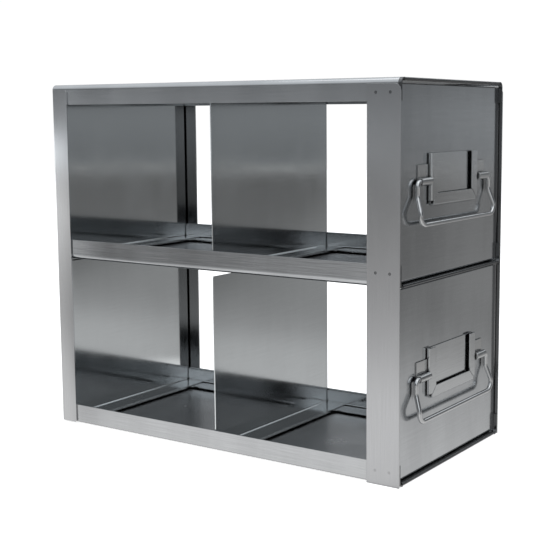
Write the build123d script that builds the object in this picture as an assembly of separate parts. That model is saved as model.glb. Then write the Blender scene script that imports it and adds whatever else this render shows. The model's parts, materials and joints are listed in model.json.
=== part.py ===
from build123d import *
import os
from math import radians, tan

# Freezer drawer rack in bent, spot-welded stainless sheet: an open frame with two drawers,
# one above the other. Each drawer holds two storage boxes in line, with an upright divider
# between them, and is pulled out by a wire bail on its front.
# While modelling, X runs from the closed back end (0) to the handle end, Y runs across the
# rack and Z is up, with the floor at 0. All lengths are in millimetres.

# Overall sizes
rack_length = 280.0
rack_width = 140.0
rack_height = 241.0
top_room = 2.6              # the upper bay is this much taller, for the top panel and its hem

# Sheet
frame_sheet = 1.0
drawer_sheet = 0.8
holder_sheet = 0.7
clip_sheet = 0.8

# The three pans that make the top, shelf and bottom: side rails and hemmed front edges
pan_bend = 3.5              # outside radius of the rail bends
rail_height = 13.6
hem_depth = 8.0
hem_end_clearance = 0.5     # end of a hem to the bends beside it

# Back panel: end wall with a flange round each rear corner
back_flange = 14.2
back_bend = 1.8
back_lift = 0.8             # its lower edge stands this far off the floor
back_corner = 1.5
rail_rear_gap = 0.4         # rail end to the rear corner bend

# Flat posts at the handle end
post_width = 22.3
post_corner = 4.0

# Drawer body
side_clearance = 0.4        # rail to drawer side
hem_clearance = 0.3         # drawer floor over the pan's hem
lip_below_rail = 1.0
lip_bend = 2.0              # outside radius of the side lips
rear_gap = 2.0              # back panel to back divider
front_inset = 2.6           # front face behind the rack's front edge
front_top_gap = 0.7         # drawer front to the pan above
front_side_clearance = 0.6
front_bend = 2.0
front_relief = 0.4
front_hem_depth = 8.0
front_hem_setback = 3.0     # hem end to the side edge of the front
stop_clearance = 0.2        # turned-down rear edge, which meets the hem, over the pan
stop_bend = 1.0

# Dividers and floor windows
divider_top_gap = 3.2       # divider to the pan above
divider_clearance = 0.3
divider_bend = 1.6
divider_corner = 1.2
foot_length = 17.5
foot_clearance = 0.3
window_side_border = 14.1
window_corner = 3.0

# Label holder
holder_width = 63.6
holder_height = 31.5
holder_bottom = 46.0        # above the pan's underside
holder_depth = 2.9
holder_bend = 1.0
holder_lip = 8.0
holder_bottom_lip = 7.2
holder_notch = 3.0
mitre_gap = 0.5

# Bail and its rolled clips
wire_diameter = 3.0
pin_clearance = 0.1         # radial, wire in the rolled clip
hinge_height = 61.0         # above the pan's underside
clip_gap = 0.8              # holder side to clip
clip_width = 12.8
clip_tab_height = 10.0
clip_mouth_angle = 40.0
pin_recess = 0.2            # pin end inside the clip's inner end
leg_gap = 3.4               # clip end to the leg's centre line
leg_splay = 1.6             # each leg's lower end stands this much further out
bail_drop = 25.4
bail_step = 3.2             # the bar stands this much further out than the pivots
step_start = 9.0
step_end = 18.5
shoulder_radius = 3.0
step_radius = 6.0
bar_radius = 5.5

# Derived places shared by several pieces
shelf_rise = (rack_height - top_room) / 2
middle_y = rack_width / 2
rail_outside = frame_sheet
rail_inside = 2 * frame_sheet
front_face = rack_length - front_inset
front_inner = front_face - drawer_sheet
drawer_rear = frame_sheet + rear_gap
floor_bottom = 2 * frame_sheet + hem_clearance
floor_top = floor_bottom + drawer_sheet
lip_top = rail_height - lip_below_rail
front_top = shelf_rise - front_top_gap
divider_top = shelf_rise - divider_top_gap
stop_bottom = frame_sheet + stop_clearance
post_top = rack_height - pan_bend
rail_rear = back_bend + rail_rear_gap
hem_side = rail_outside + pan_bend + hem_end_clearance
tray_side = rail_inside + side_clearance
lip_inside = tray_side + drawer_sheet
flat_side = tray_side + lip_bend
middle_divider_x = (drawer_rear + front_inner) / 2
clip_inner_offset = holder_width / 2 + clip_gap
leg_offset_top = clip_inner_offset + clip_width + leg_gap
leg_offset_bottom = leg_offset_top + leg_splay
hinge_x = front_face + clip_sheet + wire_diameter / 2 + pin_clearance
bail_front = hinge_x + bail_step + wire_diameter / 2


def block(x0, x1, y0, y1, z0, z1):
    """A box between two corners."""
    centre = ((x0 + x1) / 2, (y0 + y1) / 2, (z0 + z1) / 2)
    return Pos(*centre) * Box(x1 - x0, y1 - y0, z1 - z0)


def across(piece):
    """The mirror image of a piece about the rack's middle plane."""
    return piece.mirror(Plane.XZ.offset(-middle_y))


def folded_sheet(plane, outline, radius, thickness, side, length):
    """Sheet folded along an open outline with rounded corners, carried along the plane's normal."""
    with BuildPart() as piece:
        with BuildSketch(plane):
            with BuildLine():
                FilletPolyline(*outline, radius=radius)
                offset(amount=thickness, side=side)
            make_face()
        extrude(amount=length)
    return piece.part


def closed_hem(plane, thickness, depth, length):
    """Sheet edge folded flat on itself: a half-round nose that ends at the plane's origin,
    and a flap that runs back along -x on top of the sheet."""
    nose = Pos(-thickness, thickness) * Circle(thickness)
    flap = Pos(-(depth + thickness) / 2, 1.5 * thickness) * Rectangle(depth - thickness, thickness)
    return extrude(plane * (nose + flap), amount=length)


def pan(sheet_rear, notch_floor):
    """Channel with two side rails and a hemmed front edge, its underside at Z = 0 and its rails up.
    The rails stop short of the bends of the back panel, above the height notch_floor."""
    outline = [
        (rail_outside, rail_height),
        (rail_outside, 0),
        (rack_width - rail_outside, 0),
        (rack_width - rail_outside, rail_height),
    ]
    length = rack_length - sheet_rear
    piece = folded_sheet(Plane.YZ.offset(sheet_rear), outline, pan_bend, frame_sheet, Side.LEFT, length)
    notch = block(0, rail_rear, 0, rail_outside + pan_bend, notch_floor, rail_height)
    piece -= notch
    piece -= across(notch)
    piece -= block(rack_length - frame_sheet, rack_length, hem_side, rack_width - hem_side, 0, frame_sheet)
    hem_plane = Plane((rack_length, rack_width - hem_side, 0), x_dir=(1, 0, 0), z_dir=(0, -1, 0))
    piece += closed_hem(hem_plane, frame_sheet, hem_depth, rack_width - 2 * hem_side)
    return piece


def back_panel():
    """End wall with a flange round each rear corner and a tongue under the top panel."""
    outline = [(back_flange, 0), (0, 0), (0, rack_width), (back_flange, rack_width)]
    height = post_top - back_lift
    piece = folded_sheet(Plane.XY.offset(back_lift), outline, back_bend, frame_sheet, Side.RIGHT, height)
    free_corners = piece.edges().filter_by(Axis.Y).group_by(Axis.X)[-1]
    piece = fillet(free_corners, back_corner)
    top = rack_height - frame_sheet
    piece += block(0, frame_sheet, hem_side, rack_width - hem_side, post_top - 1, top)
    return piece


def front_post():
    """Flat strip welded to the outside of the near rails at the handle end."""
    inner_edge = rack_length - post_width
    piece = block(inner_edge, rack_length, 0, frame_sheet, 0, post_top)
    outer_corner = piece.edges().filter_by(Axis.Y).group_by(Axis.Z)[-1].sort_by(Axis.X)[-1]
    return fillet(outer_corner, post_corner)


def drawer_body():
    """One folded sheet: floor with two windows, low side lips, full-height front with a hemmed
    top edge, and a short turned-down rear edge that stops the drawer at the pan's hem."""
    outline = [
        (tray_side, lip_top),
        (tray_side, floor_bottom),
        (rack_width - tray_side, floor_bottom),
        (rack_width - tray_side, lip_top),
    ]
    rear_plane = Plane.YZ.offset(drawer_rear)
    length = front_inner - front_relief - drawer_rear
    piece = folded_sheet(rear_plane, outline, lip_bend, drawer_sheet, Side.LEFT, length)

    # The floor ends just behind the front bend, and only the lips run on beside it.
    bend_start = front_face - 2 * front_bend
    piece -= block(bend_start, rack_length, 0, rack_width, 0, floor_bottom + lip_bend)
    bend_side = flat_side + front_relief
    front_outline = [(bend_start, floor_bottom), (front_face, floor_bottom), (front_face, front_top / 2)]
    front_plane = Plane((0, rack_width - bend_side, 0), x_dir=(1, 0, 0), z_dir=(0, -1, 0))
    bend_width = rack_width - 2 * bend_side
    piece += folded_sheet(front_plane, front_outline, front_bend, drawer_sheet, Side.LEFT, bend_width)

    # The front plate is wider than the bend, with a relief slit at each end of it.
    plate_side = rail_inside + front_side_clearance
    plate_bottom = floor_bottom + front_relief
    bend_top = floor_bottom + front_bend
    hem_bottom = front_top - drawer_sheet
    plate = block(front_inner, front_face, plate_side, rack_width - plate_side, plate_bottom, hem_bottom)
    plate -= block(front_inner, front_face, flat_side, rack_width - flat_side, 0, bend_top)
    piece += plate
    fold_side = plate_side + front_hem_setback
    fold_plane = Plane((front_face, rack_width - fold_side, front_top), x_dir=(0, 0, 1), z_dir=(0, -1, 0))
    piece += closed_hem(fold_plane, drawer_sheet, front_hem_depth, rack_width - 2 * fold_side)

    # Rear stop, a short edge turned down behind the floor.
    stop_side = flat_side + window_side_border
    stop_start = drawer_rear + 2 * stop_bend
    piece -= block(0, stop_start, stop_side, rack_width - stop_side, 0, floor_top)
    stop_outline = [
        (stop_start, floor_top),
        (drawer_rear, floor_top),
        (drawer_rear, stop_bottom),
    ]
    stop_plane = Plane((0, rack_width - stop_side, 0), x_dir=(1, 0, 0), z_dir=(0, -1, 0))
    stop_width = rack_width - 2 * stop_side
    piece += folded_sheet(stop_plane, stop_outline, stop_bend, drawer_sheet, Side.LEFT, stop_width)

    for divider_x, next_wall in ((drawer_rear, middle_divider_x), (middle_divider_x, front_inner)):
        piece -= floor_window(divider_x + foot_length, next_wall - foot_length)
    return piece


def floor_window(x0, x1):
    """Rounded opening in the floor under one storage box."""
    border = flat_side + window_side_border
    window = RectangleRounded(x1 - x0, rack_width - 2 * border, window_corner)
    return extrude(Pos((x0 + x1) / 2, middle_y, 0) * window, amount=2 * floor_top)


def divider(x):
    """Upright with a foot on the drawer floor, folded from one sheet, its rear face at x.
    It is as wide as the drawer above the side lips, and fits between them lower down."""
    outline = [(x, divider_top), (x, floor_top), (x + foot_length, floor_top)]
    plane = Plane((0, rack_width - tray_side, 0), x_dir=(1, 0, 0), z_dir=(0, -1, 0))
    width = rack_width - 2 * tray_side
    piece = folded_sheet(plane, outline, divider_bend, drawer_sheet, Side.LEFT, width)
    top_corners = piece.edges().filter_by(Axis.X).group_by(Axis.Z)[-1]
    piece = fillet(top_corners, divider_corner)
    foot_end = x + foot_length
    lip_notch_side = lip_inside + divider_clearance
    lip_notch = block(x, foot_end, 0, lip_notch_side, floor_top, lip_top + divider_clearance)
    bend_notch_side = flat_side + foot_clearance
    bend_notch_top = floor_bottom + lip_bend + foot_clearance
    bend_notch = block(x, foot_end, 0, bend_notch_side, floor_top, bend_notch_top)
    for notch in (lip_notch, bend_notch):
        piece -= notch
        piece -= across(notch)
    return piece


def label_holder():
    """Back plate with channels folded round its sides and lower edge, open at the top.
    The lips meet in open mitres, and the side walls are notched at the lower corners."""
    x0 = front_face
    x1 = front_face + holder_depth
    near = middle_y - holder_width / 2
    far = middle_y + holder_width / 2
    top = holder_bottom + holder_height
    side_outline = [
        (x1, near + holder_lip),
        (x1, near),
        (x0, near),
        (x0, far),
        (x1, far),
        (x1, far - holder_lip),
    ]
    plane = Plane.XY.offset(holder_bottom)
    sides = folded_sheet(plane, side_outline, holder_bend, holder_sheet, Side.RIGHT, holder_height)
    bottom_outline = [
        (x0, holder_bottom + holder_bottom_lip),
        (x0, holder_bottom),
        (x1, holder_bottom),
        (x1, holder_bottom + holder_bottom_lip),
    ]
    notch_near = near + holder_notch
    bottom_plane = Plane((0, far - holder_notch, 0), x_dir=(1, 0, 0), z_dir=(0, -1, 0))
    bottom_width = holder_width - 2 * holder_notch
    bottom = folded_sheet(bottom_plane, bottom_outline, holder_bend, holder_sheet, Side.LEFT, bottom_width)

    # Mitre line across the lower near corner, cleared on both sides, then the same on the far side.
    lip_x = x0 + holder_sheet
    reach = holder_lip + holder_notch
    rise = holder_bottom_lip / holder_lip
    half_gap = mitre_gap / 2
    low = [
        (near, holder_bottom),
        (near, holder_bottom + half_gap),
        (near + reach, holder_bottom + reach * rise + half_gap),
        (near + reach, holder_bottom),
    ]
    high = [
        (near, holder_bottom - half_gap),
        (near, top),
        (near + reach, top),
        (near + reach, holder_bottom + reach * rise - half_gap),
    ]
    lip_plane = Plane.YZ.offset(lip_x)
    below_mitre = extrude(lip_plane * make_face(Polyline(*low, close=True)), amount=holder_depth)
    above_mitre = extrude(lip_plane * make_face(Polyline(*high, close=True)), amount=holder_depth)
    wall_notch = block(x0, x1, near, notch_near, holder_bottom, holder_bottom + holder_notch)
    lower_edge = block(x0, x1, notch_near, far - holder_notch, holder_bottom, holder_bottom + holder_bend)
    for cut in (below_mitre, wall_notch):
        sides -= cut
        sides -= across(cut)
    sides -= lower_edge
    bottom -= above_mitre
    bottom -= across(above_mitre)
    return sides + bottom


def clip():
    """Near clip of a bail: a flat tab on the front, rolled round the wire at its lower end."""
    outer_radius = wire_diameter / 2 + pin_clearance + clip_sheet
    bore_radius = wire_diameter / 2 + pin_clearance
    mouth_reach = 2 * outer_radius
    mouth_rise = mouth_reach * tan(radians(clip_mouth_angle))
    roll = Circle(outer_radius) - Circle(bore_radius)
    mouth = make_face(Polyline((0, 0), (-mouth_reach, 0), (-mouth_reach, mouth_rise), close=True))
    tab = Pos(clip_sheet / 2 - outer_radius, clip_tab_height / 2) * Rectangle(clip_sheet, clip_tab_height)
    section = roll - mouth + tab
    inner_end = middle_y - clip_inner_offset
    plane = Plane((hinge_x, inner_end, hinge_height), x_dir=(1, 0, 0), z_dir=(0, -1, 0))
    return extrude(plane * section, amount=clip_width)


def bail():
    """Bent wire: two pins turned inwards, legs that step away from the front, and the bar."""
    half = [
        (0, clip_inner_offset + pin_recess, 0),
        (0, leg_offset_top, 0),
        (0, leg_offset_top, -step_start),
        (bail_step, leg_offset_bottom, -step_end),
        (bail_step, leg_offset_bottom, -bail_drop),
    ]
    near_half = [(hinge_x + x, middle_y - y, hinge_height + z) for x, y, z in half]
    far_half = [(hinge_x + x, middle_y + y, hinge_height + z) for x, y, z in reversed(half)]
    radii = [shoulder_radius, step_radius, step_radius, bar_radius]
    path = FilletPolyline(*near_half, *far_half, radius=radii + radii[::-1])
    section = Plane(path @ 0, z_dir=path % 0) * Circle(wire_diameter / 2)
    return sweep(section, path)


def build_nodes():
    """Every piece of the rack by name."""
    top = Pos(0, 0, rack_height) * pan(0, pan_bend).mirror(Plane.XY)
    post = front_post()
    nodes = {
        "top_panel": top,
        "middle_shelf": Pos(0, 0, shelf_rise) * pan(frame_sheet, 0),
        "bottom_panel": pan(frame_sheet, 0),
        "back_panel": back_panel(),
        "near_front_post": post,
        "far_front_post": across(post),
    }
    near_clip = clip()
    drawer = {
        "drawer_body": drawer_body(),
        "back_divider": divider(drawer_rear),
        "middle_divider": divider(middle_divider_x),
        "label_holder": label_holder(),
        "near_bail_clip": near_clip,
        "far_bail_clip": across(near_clip),
        "bail_handle": bail(),
    }
    for level, rise in (("lower", 0), ("upper", shelf_rise)):
        for name, piece in drawer.items():
            nodes[level + "_" + name] = Pos(0, 0, rise) * piece
    return nodes


os.makedirs("parts", exist_ok=True)
to_origin = Pos(-bail_front / 2, -middle_y, 0)
for node_name, node_piece in build_nodes().items():
    export_step(to_origin * node_piece, "parts/" + node_name + ".step")
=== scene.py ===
import bpy
import json
import numpy as np
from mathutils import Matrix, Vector
from math import radians

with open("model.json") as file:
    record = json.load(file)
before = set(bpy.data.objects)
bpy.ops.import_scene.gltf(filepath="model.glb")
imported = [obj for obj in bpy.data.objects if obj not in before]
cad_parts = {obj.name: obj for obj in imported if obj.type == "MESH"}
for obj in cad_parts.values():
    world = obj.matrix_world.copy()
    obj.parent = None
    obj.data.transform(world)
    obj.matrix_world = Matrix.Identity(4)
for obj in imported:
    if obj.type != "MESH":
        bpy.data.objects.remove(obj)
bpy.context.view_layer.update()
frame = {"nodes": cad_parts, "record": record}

scene = bpy.context.scene
scene.view_settings.view_transform = "Standard"   # keeps the ground behind bright metal white

cameraSettings = {
    "place": (0.45020, -0.62795, 0.21920),   # in front of the near corner of the handle end
    "yaw": 33.093,       # degrees, turned left of straight ahead
    "pitch": 7.114,      # degrees, looking down
    "roll": 0.197,
    "lens": 73.075,      # millimetres, as is the sensor's width
    "sensor": 36.0,
    "shift": (-0.0909, -0.0364),
}


def makeCamera(settings):
    camera = bpy.data.cameras.new("camera")
    camera.lens = settings["lens"]
    camera.sensor_width = settings["sensor"]
    camera.shift_x, camera.shift_y = settings["shift"]
    holder = bpy.data.objects.new("camera", camera)
    scene.collection.objects.link(holder)
    holder.location = settings["place"]
    holder.rotation_euler = (radians(90 - settings["pitch"]), radians(settings["roll"]),
                             radians(settings["yaw"]))
    scene.camera = holder


makeCamera(cameraSettings)
print("camera placed")


def wrappedGrid(name, points):
    # quads over rows and columns of points, with the last column joined to the first
    rows, columns = points.shape[:2]
    row, column = np.meshgrid(np.arange(rows - 1), np.arange(columns), indexing="ij")
    row, column = row.ravel(), column.ravel()
    after = (column + 1) % columns
    corners = [row * columns + column, (row + 1) * columns + column,
               (row + 1) * columns + after, row * columns + after]
    mesh = bpy.data.meshes.new(name)
    mesh.from_pydata(points.reshape(-1, 3).tolist(), [], np.stack(corners, axis=1).tolist())
    mesh.update()
    mesh.polygons.foreach_set("use_smooth", np.full(len(mesh.polygons), True))
    piece = bpy.data.objects.new(name, mesh)
    scene.collection.objects.link(piece)
    return piece


studio = {
    "spokes": 96,                 # round the floor and the room
    "turn": (0.035, 0.095),       # X plus Y over which the near side's tones give way to the end's
    "cardEdge": (0.508, 0.524),   # lean over which a white card at the far end begins
    "whiteCard": 2.2,             # extra glow of that card, seen in the rear flange
    "worldWhite": 1.02,
}
nearTones = {      # what the long near side mirrors
    "eye": (0.45, 0.488),         # point in plan that these tones spread from
    "centre": (0.0, -0.15, 0.0),  # the floor's glow fades with the distance from here
    "floorGlow": [(0.0, 0.86), (0.10, 0.80), (0.17, 0.64), (0.30, 0.55), (0.53, 0.43), (1.0, 0.30)],
    "reach": (0.08, 0.32),        # metres from the centre over which the side tones set in
    "sides": [(0.28, 0.80), (0.35, 0.66), (0.43, 0.48), (0.49, 0.34), (0.513, 0.32), (0.523, 1.0),
              (0.6, 1.1)],        # glow along the lean
    "roomGlow": [(0.0, 0.34), (0.05, 0.36), (0.11, 0.16), (0.22, 0.15), (0.36, 0.5), (0.6, 0.8),
                 (1.0, 0.85)],    # glow up the room
}
rightTones = {     # what the handle end mirrors
    "eye": (-0.18, -0.628),
    "centre": (0.135, -0.02, 0.0),
    "floorGlow": [(0.0, 0.70), (0.04, 0.58), (0.08, 0.51), (0.115, 0.37), (0.15, 0.30), (0.20, 0.26),
                  (0.28, 0.26), (0.36, 0.235), (1.0, 0.19)],
    "reach": (0.3, 0.8),
    "sides": [(0.22, 1.25), (0.24, 1.14), (0.26, 1.0), (0.28, 0.76)],
    "roomGlow": [(0.0, 0.24), (0.055, 0.33), (0.11, 0.16), (0.42, 0.125), (0.46, 0.7), (0.51, 0.7),
                 (0.55, 0.2), (0.7, 0.8), (1.0, 0.85)],
}


def newMaterial(name):
    material = bpy.data.materials.new(name)
    material.use_nodes = True
    material.node_tree.nodes.clear()
    return material, material.node_tree


def mathStep(tree, operation, *values):
    # one arithmetic step on sockets and plain numbers
    step = tree.nodes.new("ShaderNodeMath")
    step.operation = operation
    for socket, value in zip(step.inputs, values):
        if isinstance(value, (int, float)):
            socket.default_value = value
        else:
            tree.links.new(value, socket)
    return step.outputs[0]


def product(tree, first, *others):
    for other in others:
        first = mathStep(tree, "MULTIPLY", first, other)
    return first


def vectorStep(tree, operation, first, second):
    step = tree.nodes.new("ShaderNodeVectorMath")
    step.operation = operation
    tree.links.new(first, step.inputs[0])
    step.inputs[1].default_value = second
    return step


def axesOf(tree, vector):
    split = tree.nodes.new("ShaderNodeSeparateXYZ")
    tree.links.new(vector, split.inputs[0])
    return split.outputs


def smoothRise(tree, value, span, levels=(0.0, 1.0)):
    # smooth step from the first level to the second while the value crosses the span
    rise = tree.nodes.new("ShaderNodeMapRange")
    rise.interpolation_type = "SMOOTHSTEP"
    for label, number in zip(("From Min", "From Max", "To Min", "To Max"), (*span, *levels)):
        rise.inputs[label].default_value = number
    tree.links.new(value, rise.inputs["Value"])
    return rise.outputs["Result"]


def rampOf(tree, value, stops):
    # grey levels at places along a value from 0 to 1
    ramp = tree.nodes.new("ShaderNodeValToRGB")
    elements = ramp.color_ramp.elements
    while len(elements) < len(stops):
        elements.new(1.0)
    for element, (position, level) in zip(elements, stops):
        element.position = position
        element.color = (level, level, level, 1)
    tree.links.new(value, ramp.inputs["Fac"])
    return ramp.outputs["Color"]


def leanFrom(tree, place, eye):
    # direction in plan: sideways distance over outward distance from a fixed point, halved
    offset = axesOf(tree, vectorStep(tree, "SUBTRACT", place, (*eye, 0.0)).outputs[0])
    return mathStep(tree, "MULTIPLY", mathStep(tree, "DIVIDE", offset["X"], offset["Y"]), 0.5)


def onRight(tree, place):
    # 0 beside the rack's long near side, 1 beyond its handle end
    along = vectorStep(tree, "DOT_PRODUCT", place, (1.0, 1.0, 0.0)).outputs["Value"]
    return smoothRise(tree, along, studio["turn"])


def mixTones(tree, weight, first, second):
    mix = tree.nodes.new("ShaderNodeMix")
    mix.data_type = "FLOAT"
    tree.links.new(weight, mix.inputs[0])
    for socket, value in ((mix.inputs[2], first), (mix.inputs[3], second)):
        if isinstance(value, float):
            socket.default_value = value
        else:
            tree.links.new(value, socket)
    return mix.outputs[0]


floorShape = {
    "radius": 3.8,           # metres
    "hub": 1e-4,             # radius of the innermost ring
    "rings": 24,
    "drop": 0.0002,          # how far it lies below the rack's underside
    "tone": (0.9, 0.9, 0.9, 1),
    "roughness": 0.9,
    "white": 0.78,           # glow that the camera sees, under the softbox's own light
    "fadeSpan": 3.0,         # metres that each floorGlow is spread over
    "cardReach": (0.4, 2.2),     # metres over which the white card sets in
}


def floorTone(tree, place, tones, settings):
    # distance fade times the side tones, which set in over the reach and gain the card far out
    distance = vectorStep(tree, "DISTANCE", place, tones["centre"]).outputs["Value"]
    span = mathStep(tree, "DIVIDE", distance, settings["fadeSpan"])
    fade = rampOf(tree, span, tones["floorGlow"])
    lean = leanFrom(tree, place, tones["eye"])
    side = mixTones(tree, smoothRise(tree, distance, tones["reach"]), 1.0,
                    rampOf(tree, lean, tones["sides"]))
    far = smoothRise(tree, distance, settings["cardReach"], (0.0, studio["whiteCard"]))
    card = product(tree, smoothRise(tree, lean, studio["cardEdge"]), far)
    return product(tree, fade, mathStep(tree, "ADD", side, card))


def floorMaterial(settings):
    # the camera sees a pale floor; the metal sees one that fades and changes round the rack
    material, tree = newMaterial("pale floor")
    out = tree.nodes.new("ShaderNodeOutputMaterial")
    pick = tree.nodes.new("ShaderNodeMixShader")
    path = tree.nodes.new("ShaderNodeLightPath")
    tree.links.new(path.outputs["Is Camera Ray"], pick.inputs["Fac"])
    pale = tree.nodes.new("ShaderNodeBsdfPrincipled")
    pale.inputs["Base Color"].default_value = settings["tone"]
    pale.inputs["Roughness"].default_value = settings["roughness"]
    pale.inputs["Emission Color"].default_value = (1, 1, 1, 1)
    pale.inputs["Emission Strength"].default_value = settings["white"]
    tree.links.new(pale.outputs[0], pick.inputs[2])
    place = tree.nodes.new("ShaderNodeTexCoord").outputs["Object"]
    near, right = [floorTone(tree, place, tones, settings) for tones in (nearTones, rightTones)]
    glow = tree.nodes.new("ShaderNodeEmission")
    tree.links.new(mixTones(tree, onRight(tree, place), near, right), glow.inputs["Strength"])
    tree.links.new(glow.outputs[0], pick.inputs[1])
    tree.links.new(pick.outputs[0], out.inputs["Surface"])
    return material


def makeFloor(settings):
    # flat disc: radius r from the hub to the rim, angle a round it, at (r cos a, r sin a, -drop)
    radius = np.linspace(settings["hub"], settings["radius"], settings["rings"])
    angle = np.linspace(0, 2 * np.pi, studio["spokes"], endpoint=False)
    r, a = np.meshgrid(radius, angle, indexing="ij")
    height = np.full_like(r, -settings["drop"])
    floor = wrappedGrid("floor", np.stack([r * np.cos(a), r * np.sin(a), height], axis=-1))
    floor.data.materials.append(floorMaterial(settings))


roomShape = {
    "radius": 4.0,           # metres
    "rings": 24,
    "pole": 1e-3,            # radians left open overhead
    "tint": (0.96, 1.0, 1.04, 1),
    # skirting, sideFade and lampGlow give a span and the levels at its two ends; heights are
    # shares of the radius
    "skirting": ((0.0, 0.012), (1.1, 2.7)),        # just over the horizon, by height
    "sideFade": ((0.27, 0.38), (0.62, 1.0)),       # towards the handle end, by lean
    "sideTop": (0.02, 0.05),                       # heights over which the side tones end
    "lampAim": (0.70, -0.66, 0.28),                # direction of a tall soft lamp
    "lampSquash": (1.0, 1.0, 0.55),                # heights are squashed, which makes it tall
    "lampGlow": ((0.94, 0.98), (0.0, 0.65)),       # by cosine of the angle from its middle
}


def roomMaterial(settings):
    # dim just over the horizon, lighter overhead, with one tall soft lamp beyond the near corner
    material, tree = newMaterial("studio room")
    out = tree.nodes.new("ShaderNodeOutputMaterial")
    place = tree.nodes.new("ShaderNodeTexCoord").outputs["Object"]
    height = mathStep(tree, "DIVIDE", axesOf(tree, place)["Z"], settings["radius"])
    lean = leanFrom(tree, place, nearTones["eye"])
    near = product(tree, rampOf(tree, lean, nearTones["sides"]),
                   smoothRise(tree, height, *settings["skirting"]),
                   smoothRise(tree, lean, *settings["sideFade"]))
    card = smoothRise(tree, lean, studio["cardEdge"], (0.0, studio["whiteCard"]))
    near = mixTones(tree, smoothRise(tree, height, settings["sideTop"]),
                    mathStep(tree, "ADD", near, card), 1.0)
    near = product(tree, near, rampOf(tree, height, nearTones["roomGlow"]))
    right = product(tree, rampOf(tree, leanFrom(tree, place, rightTones["eye"]), rightTones["sides"]),
                    rampOf(tree, height, rightTones["roomGlow"]))
    room = mixTones(tree, onRight(tree, place), near, right)
    aim = tree.nodes.new("ShaderNodeVectorMath")
    aim.operation = "NORMALIZE"
    squashed = vectorStep(tree, "MULTIPLY", place, settings["lampSquash"]).outputs[0]
    tree.links.new(squashed, aim.inputs[0])
    facing = vectorStep(tree, "DOT_PRODUCT", aim.outputs[0], settings["lampAim"]).outputs["Value"]
    lamp = smoothRise(tree, facing, *settings["lampGlow"])
    glow = tree.nodes.new("ShaderNodeEmission")
    glow.inputs["Color"].default_value = settings["tint"]
    tree.links.new(mathStep(tree, "ADD", room, lamp), glow.inputs["Strength"])
    tree.links.new(glow.outputs[0], out.inputs["Surface"])
    return material


def makeRoom(settings):
    # half ball over the floor: elevation e from the horizon up, angle a round it,
    # at radius times (cos e cos a, cos e sin a, sin e)
    elevation = np.linspace(0, np.pi / 2 - settings["pole"], settings["rings"])
    angle = np.linspace(0, 2 * np.pi, studio["spokes"], endpoint=False)
    e, a = np.meshgrid(elevation, angle, indexing="ij")
    points = np.stack([np.cos(e) * np.cos(a), np.cos(e) * np.sin(a), np.sin(e)], axis=-1)
    room = wrappedGrid("room", settings["radius"] * points)
    room.data.materials.append(roomMaterial(settings))
    room.visible_camera = False


def makeWorld():
    # plain white behind the object
    world = bpy.data.worlds.new("studio")
    scene.world = world
    world.use_nodes = True
    white = world.node_tree.nodes["Background"]
    white.inputs["Color"].default_value = (1, 1, 1, 1)
    white.inputs["Strength"].default_value = studio["worldWhite"]


softbox = {
    "place": (0.1, -0.1, 1.5),
    "aim": (0.0, 0.0, 0.0),
    "size": (1.4, 1.4),
    "watts": 5,
}


def makeLight(name, settings):
    light = bpy.data.lights.new(name, "AREA")
    light.shape = "RECTANGLE"
    light.size, light.size_y = settings["size"]
    light.energy = settings["watts"]
    holder = bpy.data.objects.new(name, light)
    scene.collection.objects.link(holder)
    holder.location = settings["place"]
    direction = Vector(settings["aim"]) - Vector(settings["place"])
    holder.rotation_euler = direction.to_track_quat("-Z", "Y").to_euler()


makeFloor(floorShape)
makeRoom(roomShape)
makeWorld()
makeLight("overhead softbox", softbox)
print("studio lit")


grain = {
    "across": 1900.0,        # lines per metre, roughly
    "along": 30.0,
    "lineDetail": 4.0,
    "lineRoughness": 0.5,
    "lineSpan": (0.25, 0.75),        # noise values from the darkest line to the lightest
    "depth": 0.000006,               # of the lines, in metres
    "bump": 0.3,
    "cloud": (26.0, 26.0, 8.0),      # clouds a metre, drawn out upwards
    "cloudDetail": 5.0,
    "cloudRoughness": 0.6,
    "wearSpan": (0.3, 0.7),          # cloud values from the darkest patch to the lightest
    "roughSpan": (0.2, 0.8),
    "roughSwing": 0.03,
    "squareOn": (0.8, 0.98),         # how directly a face looks along an axis
    "underside": ((-0.95, -0.6), (0.5, 1.0)),      # painted shade: faces that look down are darker
    "inward": (-0.9, -0.4),          # how directly a face looks towards the middle plane
    "noseSpan": 0.0003,              # metres over which the painted shade on a nose sets in
    "noseLevel": 0.28,               # tone of the painted shade beyond them
    "crevice": 0.0022,               # reach of the painted shade in corners and seams
    "creviceLevels": ((0.25, 0.85), (0.3, 1.0)),
    "creviceSamples": 6,
    "levelFaces": 0.75,              # level faces get no darker than this from the painted shade
    "edge": 0.00028,                 # radius of the worn, rounded sheet edges
    "edgeSamples": 4,
}
# weld spots: a dark ring that is the weld's own mark, and a painted highlight ring round the dimple
spotMark = {
    "alongs": (0.12135, 0.13095),                # two spot welds on a post at each rail
    "heights": (0.00855, 0.12775, 0.23245),      # in line with the three rails
    "reach": 0.0024,                             # metres that the rings are spread over
    "rings": [(0.0, 0.95), (0.1, 0.6), (0.22, 0.28), (0.34, 0.42), (0.46, 1.05), (0.6, 1.0)],
    "foot": ((0.02, 0.1), (0.3, 1.0)),           # fainter near the foot of the post, by height
}
postSpots = [(along, 0.0, height) for along in spotMark["alongs"] for height in spotMark["heights"]]


def spotDistance(tree, place, spots):
    # least distance to any of the spots, measured in the plane of the near side
    flat = vectorStep(tree, "MULTIPLY", place, (1.0, 0.0, 1.0)).outputs[0]
    least = vectorStep(tree, "DISTANCE", flat, spots[0]).outputs["Value"]
    for spot in spots[1:]:
        distance = vectorStep(tree, "DISTANCE", flat, spot).outputs["Value"]
        least = mathStep(tree, "MINIMUM", least, distance)
    return least


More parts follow.
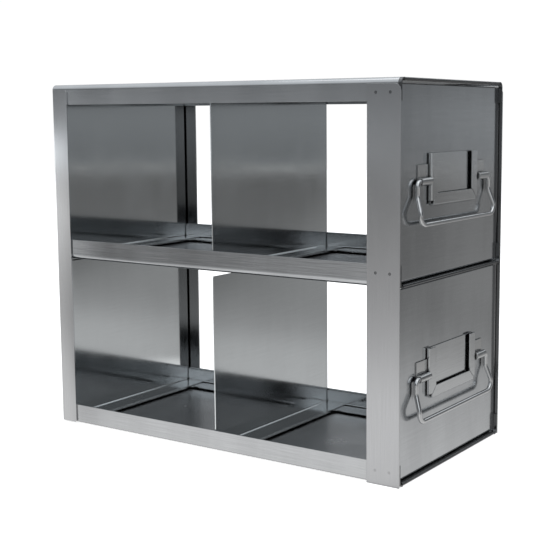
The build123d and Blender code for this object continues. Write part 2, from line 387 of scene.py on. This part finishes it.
def noiseOf(tree, place, stretch, detail, roughness):
    noise = tree.nodes.new("ShaderNodeTexNoise")
    noise.inputs["Scale"].default_value = 1.0
    noise.inputs["Detail"].default_value = detail
    noise.inputs["Roughness"].default_value = roughness
    stretched = vectorStep(tree, "MULTIPLY", place, stretch).outputs[0]
    tree.links.new(stretched, noise.inputs["Vector"])
    return noise.outputs["Fac"]


def aboutOne(swing):
    return 1.0 - swing, 1.0 + swing


def toneFactors(tree, finish, place, facing, flat, lines, cloud):
    # what the tone is multiplied by: one factor each for the grain, the wear and the weld marks, and
    # for painted shade and highlight on undersides, noses, cut edges, inner faces and crevices
    axes = axesOf(tree, place)
    factors = [smoothRise(tree, lines, grain["lineSpan"], aboutOne(finish["streak"])),
               smoothRise(tree, cloud, grain["wearSpan"], aboutOne(finish["wear"]))]
    if finish["spots"]:
        distance = spotDistance(tree, place, finish["spots"])
        # weld's own dark mark with a painted highlight ring
        weldMarkAndHighlight = rampOf(tree, mathStep(tree, "DIVIDE", distance, spotMark["reach"]), spotMark["rings"])
        factors.append(mixTones(tree, smoothRise(tree, axes["Z"], *spotMark["foot"]), 1.0, weldMarkAndHighlight))
    # painted shade on faces that look down
    factors.append(smoothRise(tree, facing["Z"], *grain["underside"]))
    # painted shade on the hemmed noses beyond an X
    if finish["nose"]:
        span = (finish["nose"], finish["nose"] + grain["noseSpan"])
        factors.append(smoothRise(tree, axes["X"], span, (1.0, grain["noseLevel"])))
    # painted highlight on edges cut across the rack
    if finish["cutEdgeHighlight"] > 1.0:
        cut = mathStep(tree, "ABSOLUTE", facing["Y"])
        factors.append(smoothRise(tree, cut, grain["squareOn"], (1.0, finish["cutEdgeHighlight"])))
    # painted shade on faces that look towards the middle plane
    if finish["inside"] < 1.0:
        outward = product(tree, facing["Y"], mathStep(tree, "SIGN", axes["Y"]))
        factors.append(smoothRise(tree, outward, grain["inward"], (finish["inside"], 1.0)))
    # painted shade in corners and seams, from occlusion
    crevice = tree.nodes.new("ShaderNodeAmbientOcclusion")
    crevice.samples = grain["creviceSamples"]
    crevice.inputs["Distance"].default_value = grain["crevice"]
    creviceShade = smoothRise(tree, crevice.outputs["AO"], *grain["creviceLevels"])
    least = smoothRise(tree, flat, grain["squareOn"], (0.0, grain["levelFaces"]))
    factors.append(mathStep(tree, "MAXIMUM", creviceShade, least))
    return factors


def edgeNormal(tree, lines):
    # rounded sheet edges, with the fine lines raised on them
    edge = tree.nodes.new("ShaderNodeBevel")
    edge.samples = grain["edgeSamples"]
    edge.inputs["Radius"].default_value = grain["edge"]
    bump = tree.nodes.new("ShaderNodeBump")
    bump.inputs["Strength"].default_value = grain["bump"]
    bump.inputs["Distance"].default_value = grain["depth"]
    tree.links.new(lines, bump.inputs["Height"])
    tree.links.new(edge.outputs[0], bump.inputs["Normal"])
    return bump.outputs["Normal"]


def steel(finish):
    # metal whose fine lines run along one axis: noise squeezed across the lines and drawn out along
    # them, and clouds of wear that change its tone and roughness
    material = bpy.data.materials.new(finish["name"])
    material.use_nodes = True
    tree = material.node_tree
    shader = tree.nodes["Principled BSDF"]
    shader.inputs["Metallic"].default_value = 1.0
    where = tree.nodes.new("ShaderNodeTexCoord")
    place = where.outputs["Object"]
    facing = axesOf(tree, where.outputs["Normal"])
    flat = mathStep(tree, "ABSOLUTE", facing["Z"])
    stretch = [grain["across"]] * 3
    stretch[finish["lineAxis"]] = grain["along"]
    lines = noiseOf(tree, place, stretch, grain["lineDetail"], grain["lineRoughness"])
    cloud = noiseOf(tree, place, grain["cloud"], grain["cloudDetail"], grain["cloudRoughness"])
    level = product(tree, *toneFactors(tree, finish, place, facing, flat, lines, cloud))
    colour = tree.nodes.new("ShaderNodeVectorMath")
    colour.operation = "SCALE"
    colour.inputs[0].default_value = finish["tone"]
    tree.links.new(level, colour.inputs["Scale"])
    tree.links.new(colour.outputs[0], shader.inputs["Base Color"])
    swing = grain["roughSwing"]
    rough = smoothRise(tree, cloud, grain["roughSpan"],
                       (finish["roughness"] - swing, finish["roughness"] + swing))
    if finish["scuff"]:
        worn = smoothRise(tree, flat, grain["squareOn"], (0.0, finish["scuff"]))
        rough = mathStep(tree, "ADD", rough, worn)
    tree.links.new(rough, shader.inputs["Roughness"])
    tree.links.new(edgeNormal(tree, lines), shader.inputs["Normal"])
    return material


hemNose = 0.1354     # X of the bends along the rails' hemmed ends
plain = {
    "streak": 0.05,      # how far the lines and the clouds change the tone
    "wear": 0.05,
    "scuff": 0.0,        # added roughness of level faces
    "inside": 1.0,       # painted shade: tone of faces that look towards the rack's middle plane
    "cutEdgeHighlight": 1.0,      # painted highlight: tone of edges cut across the rack
    "nose": None,        # X beyond which shade is painted on the metal, over the hems' noses
    "spots": (),
}
finishes = {             # by material slot; lineAxis is the axis that the lines run along
    "frame_sheet": dict(plain, name="frame sheet", tone=(0.58, 0.59, 0.60), roughness=0.17,
                        lineAxis=0, scuff=0.08, nose=hemNose),
    "post_strip": dict(plain, name="post strip", tone=(0.56, 0.565, 0.575), roughness=0.17,
                       lineAxis=2, streak=0.025, wear=0.03, inside=0.35, spots=postSpots),
    "drawer_sheet": dict(plain, name="drawer sheet", tone=(0.54, 0.553, 0.563), roughness=0.15,
                         lineAxis=1, streak=0.03, wear=0.07, scuff=0.08),
    "divider_sheet": dict(plain, name="divider sheet", tone=(0.66, 0.685, 0.695), roughness=0.10,
                          lineAxis=1, streak=0.02, wear=0.03, cutEdgeHighlight=1.25),
    "holder_sheet": dict(plain, name="holder sheet", tone=(0.64, 0.652, 0.658), roughness=0.15,
                         lineAxis=1),
    "clip_sheet": dict(plain, name="clip sheet", tone=(0.6, 0.605, 0.605), roughness=0.15,
                       lineAxis=1, streak=0.04),
    "bail_wire": dict(plain, name="bail wire", tone=(0.64, 0.645, 0.65), roughness=0.10,
                      lineAxis=1, streak=0.03),
}
special = {              # by node, in place of the slot's own finish
    "back_panel": dict(plain, name="back sheet", tone=(0.60, 0.605, 0.612), roughness=0.13,
                       lineAxis=2, streak=0.02, wear=0.03, inside=0.28),
    "middle_shelf": dict(plain, name="shelf sheet", tone=(0.51, 0.523, 0.536), roughness=0.17,
                         lineAxis=0, streak=0.15, scuff=0.08, nose=hemNose),
}
steels = {key: steel(finish) for key, finish in {**finishes, **special}.items()}
slotOf = {part["node"]: part["material_slot"] for part in frame["record"]["subparts"]}
for name, node in frame["nodes"].items():
    node.material_slots[0].material = steels.get(name, steels[slotOf[name]])
print("finishes set on", len(frame["nodes"]), "nodes")
